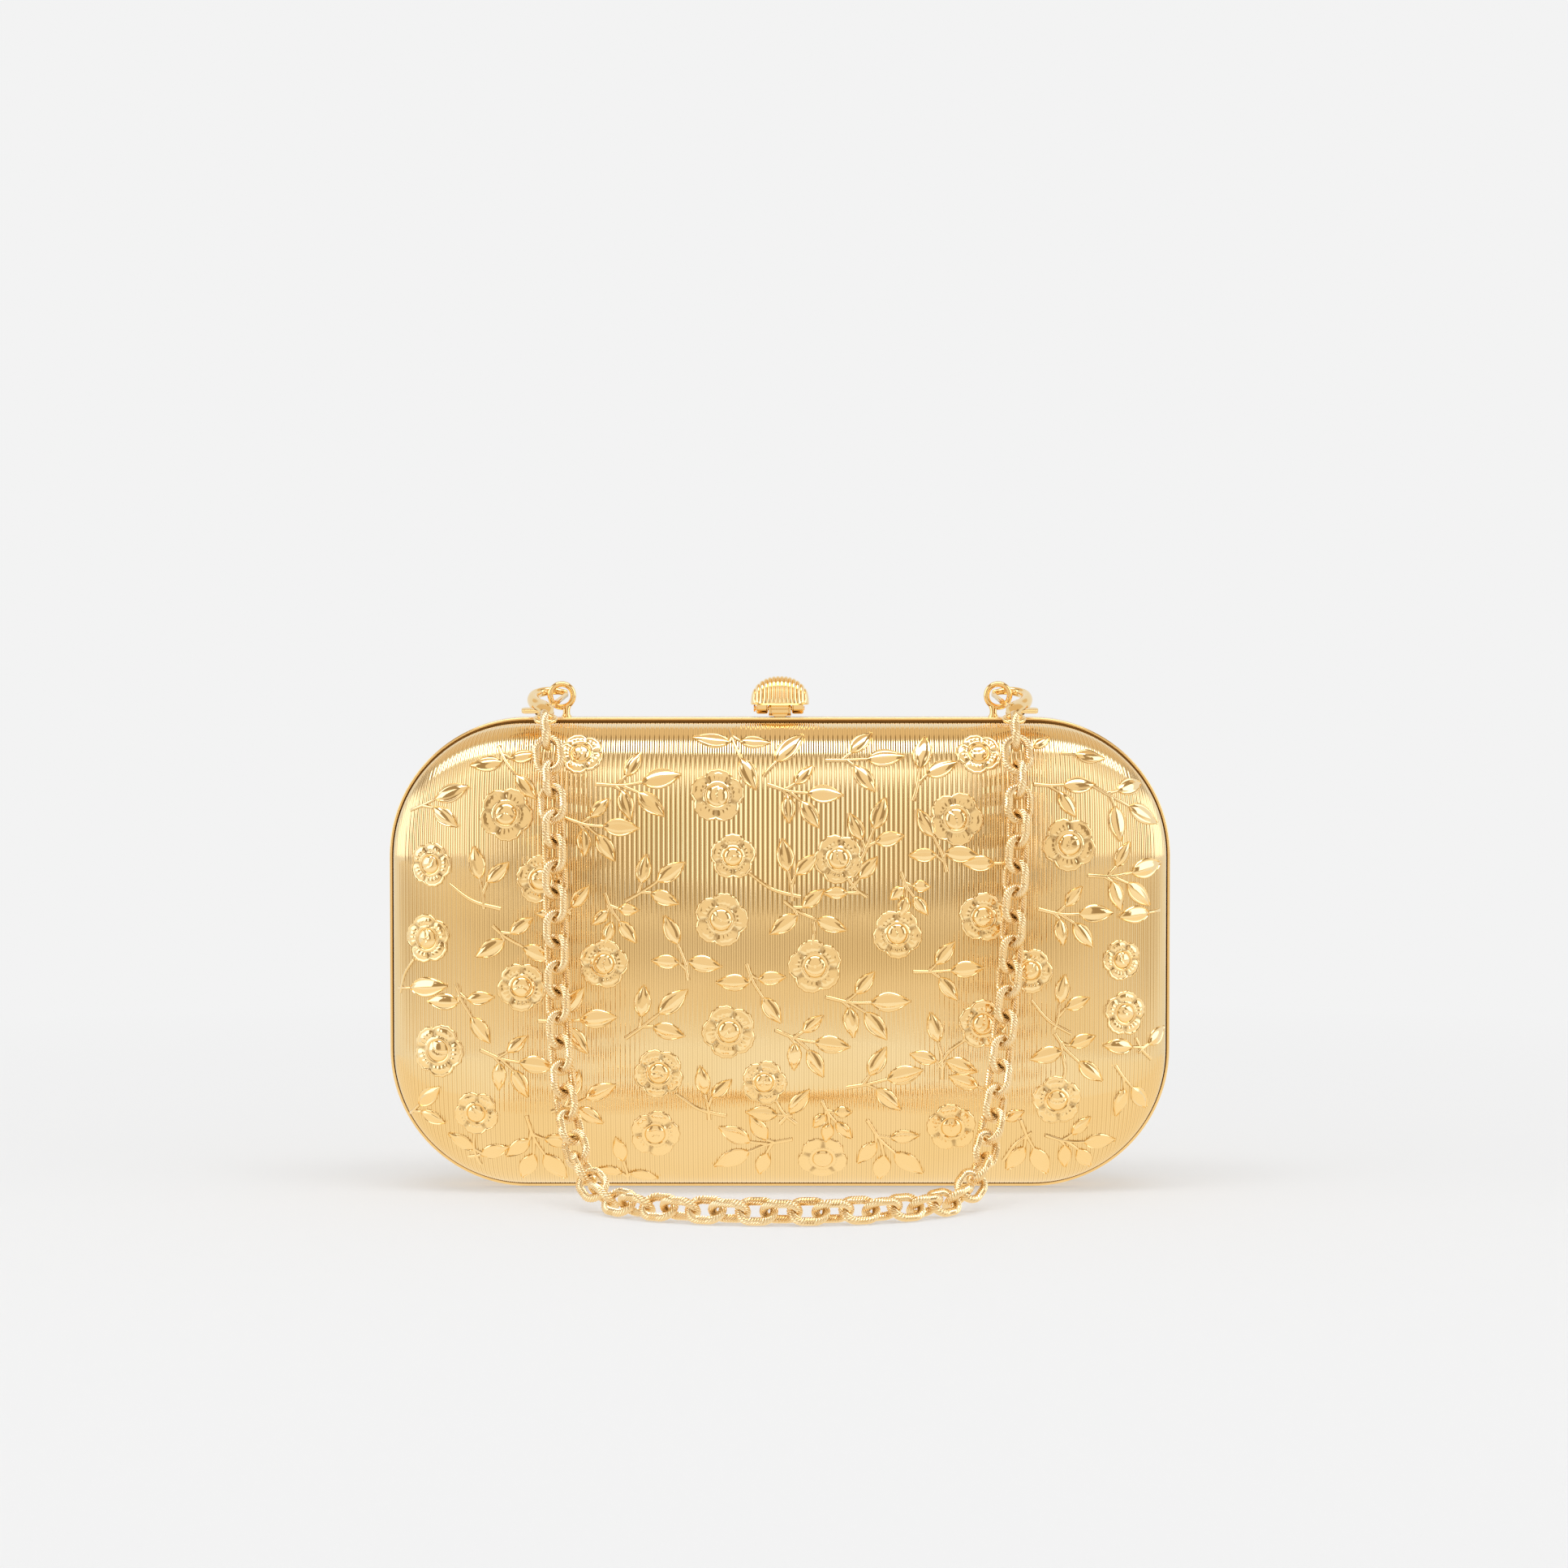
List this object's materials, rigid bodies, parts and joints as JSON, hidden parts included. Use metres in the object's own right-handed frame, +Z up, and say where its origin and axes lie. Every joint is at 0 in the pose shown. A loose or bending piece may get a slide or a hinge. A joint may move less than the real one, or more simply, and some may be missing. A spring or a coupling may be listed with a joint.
{
  "type": "clutch bag",
  "caption": "Rigid metal box clutch with hinged pressed shells in slim frames, a tipping ribbed knob closure and a link chain strap on lobster clasps.",
  "frame": {"origin": "middle of the whole footprint on the floor, the case and the chain lying in front of it together", "axes": "+X to the bag's right as seen from its front, along the case; the front with the chain faces -Y; +Z up"},
  "size_m": [0.19, 0.1004, 0.1245],
  "materials": {
    "polished_gold": "polished, gold plated",
    "pale_gold": "satin, pale gold plated",
    "chain_gold": "polished, pale gold plated",
    "lining_fabric": "satin cloth over board"
  },
  "bodies": {
    "front_half": {"front_frame": "polished_gold", "front_shell": "pale_gold", "front_lining": "lining_fabric", "hinge_leaf_front": "polished_gold", "hinge_pin": "polished_gold", "strap_eye_left": "polished_gold", "strap_eye_right": "polished_gold"},
    "back_half": {"back_frame": "polished_gold", "back_shell": "pale_gold", "back_lining": "lining_fabric", "hinge_leaf_back": "polished_gold", "knob_bracket": "polished_gold", "knob_pin": "polished_gold"},
    "knob": {"knob": "pale_gold"},
    "strap": {"clasp_body_left": "pale_gold", "clasp_body_right": "pale_gold", "gate_rivet_left": "polished_gold", "gate_rivet_right": "polished_gold", "strap_links_01": "chain_gold", "strap_links_02": "chain_gold", "strap_links_03": "chain_gold", "strap_links_04": "chain_gold", "strap_links_05": "chain_gold", "strap_links_06": "chain_gold", "strap_links_07": "chain_gold", "strap_links_08": "chain_gold", "strap_links_09": "chain_gold", "strap_links_10": "chain_gold", "strap_links_11": "chain_gold", "strap_links_12": "chain_gold", "strap_links_13": "chain_gold", "strap_links_14": "chain_gold", "strap_links_15": "chain_gold", "strap_links_16": "chain_gold", "strap_links_17": "chain_gold", "strap_links_18": "chain_gold", "strap_links_19": "chain_gold", "strap_links_20": "chain_gold", "strap_links_21": "chain_gold", "strap_links_22": "chain_gold", "strap_links_23": "chain_gold", "strap_links_24": "chain_gold", "strap_links_25": "chain_gold", "strap_links_26": "chain_gold", "strap_links_27": "chain_gold", "strap_links_28": "chain_gold", "strap_links_29": "chain_gold"},
    "gate_left": {"clasp_gate_left": "pale_gold"},
    "gate_right": {"clasp_gate_right": "pale_gold"}
  },
  "joints": [
    {"name": "lid_hinge", "type": "hinge", "parent": "front_half", "child": "back_half", "pos_m": [0, 0.02525, 0.0015], "axis": [-1, 0, 0], "range_deg": [0, 85]},
    {"name": "knob_tip", "type": "hinge", "parent": "back_half", "child": "knob", "pos_m": [0, 0.02746, 0.11655], "axis": [-1, 0, 0], "range_deg": [0, 28], "stiffness_Nm_per_rad": 0.01, "springref_deg": -17.19},
    {"name": "strap_swing", "type": "hinge", "parent": "front_half", "child": "strap", "pos_m": [0, 0.02293, 0.1198], "axis": [-1, 0, 0], "range_deg": [0, 70]},
    {"name": "gate_left_press", "type": "hinge", "parent": "strap", "child": "gate_left", "pos_m": [-0.0559, 0.01304, 0.11659], "axis": [0, -0.309, 0.9511], "range_deg": [0, 9.5], "stiffness_Nm_per_rad": 0.002, "springref_deg": -11.46},
    {"name": "gate_right_press", "type": "hinge", "parent": "strap", "child": "gate_right", "pos_m": [0.0559, 0.01304, 0.11659], "axis": [0, 0.309, -0.9511], "range_deg": [0, 9.5], "stiffness_Nm_per_rad": 0.002, "springref_deg": -11.46}
  ]
}
